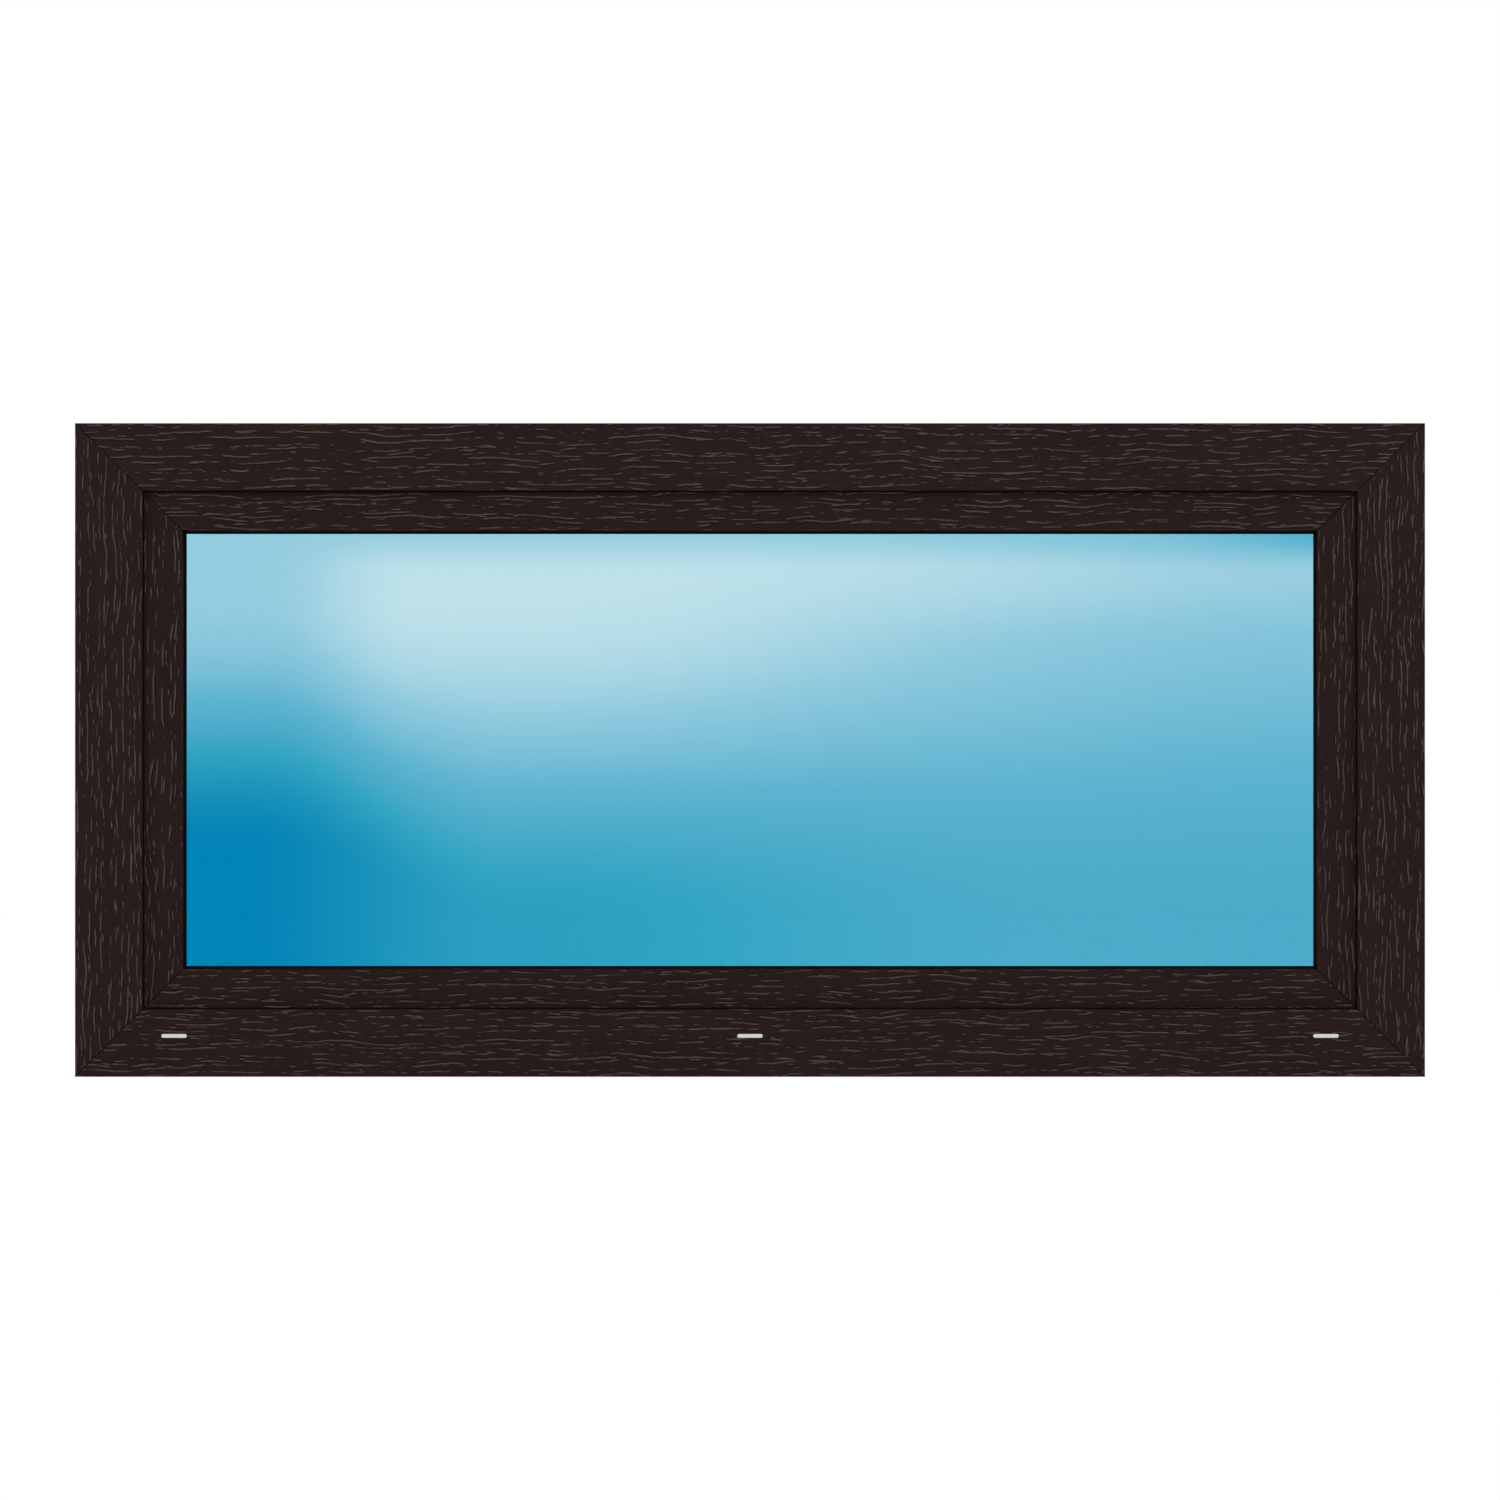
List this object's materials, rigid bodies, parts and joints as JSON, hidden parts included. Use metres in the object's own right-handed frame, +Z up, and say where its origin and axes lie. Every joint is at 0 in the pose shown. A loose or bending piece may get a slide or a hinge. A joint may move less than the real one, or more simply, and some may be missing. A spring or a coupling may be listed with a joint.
{
  "type": "bottom-hung tilt window",
  "caption": "Wide, low window in dark wood-grain plastic with welded mitred corners, insulating glass, light drain caps and a bottom-hung tilting sash with a lever inside.",
  "frame": {"origin": "middle of the sill's underside, half way through the frame's 70 mm depth", "axes": "+X along the sill to the right as seen from outdoors, +Y from outdoors to indoors, +Z up"},
  "size_m": [1.39, 0.1273, 0.673],
  "materials": {
    "foiled_profile": "dark wood-grain foil",
    "drain_cap": "light grey",
    "seal": "black",
    "outer_glass": "clear with a blue sky tint",
    "inner_glass": "clear",
    "spacer": "satin",
    "packer": "matt",
    "handle_metal": "satin anodised",
    "hinge_metal": "dark brown powder coat",
    "pin_metal": "plain"
  },
  "bodies": {
    "root": {"frame_sill": "foiled_profile", "frame_head": "foiled_profile", "frame_left_jamb": "foiled_profile", "frame_right_jamb": "foiled_profile", "sash_bottom_rail": "foiled_profile", "sash_top_rail": "foiled_profile", "sash_left_stile": "foiled_profile", "sash_right_stile": "foiled_profile", "glazing_bead_bottom": "foiled_profile", "glazing_bead_top": "foiled_profile", "glazing_bead_left": "foiled_profile", "glazing_bead_right": "foiled_profile", "drain_cap_left": "drain_cap", "drain_cap_centre": "drain_cap", "drain_cap_right": "drain_cap", "frame_stop_seal": "seal", "sash_overlap_seal": "seal", "outer_glazing_gasket": "seal", "inner_glazing_gasket": "seal", "glass_edge_seal": "seal", "outer_pane": "outer_glass", "inner_pane": "inner_glass", "spacer_bar_bottom": "spacer", "spacer_bar_top": "spacer", "spacer_bar_left": "spacer", "spacer_bar_right": "spacer", "glazing_packers": "packer", "handle_rose": "handle_metal", "handle_lever": "handle_metal", "hinge_left_frame_leaf": "hinge_metal", "hinge_left_sash_leaf": "hinge_metal", "hinge_right_frame_leaf": "hinge_metal", "hinge_right_sash_leaf": "hinge_metal", "hinge_left_pin": "pin_metal", "hinge_right_pin": "pin_metal"}
  },
  "joints": []
}
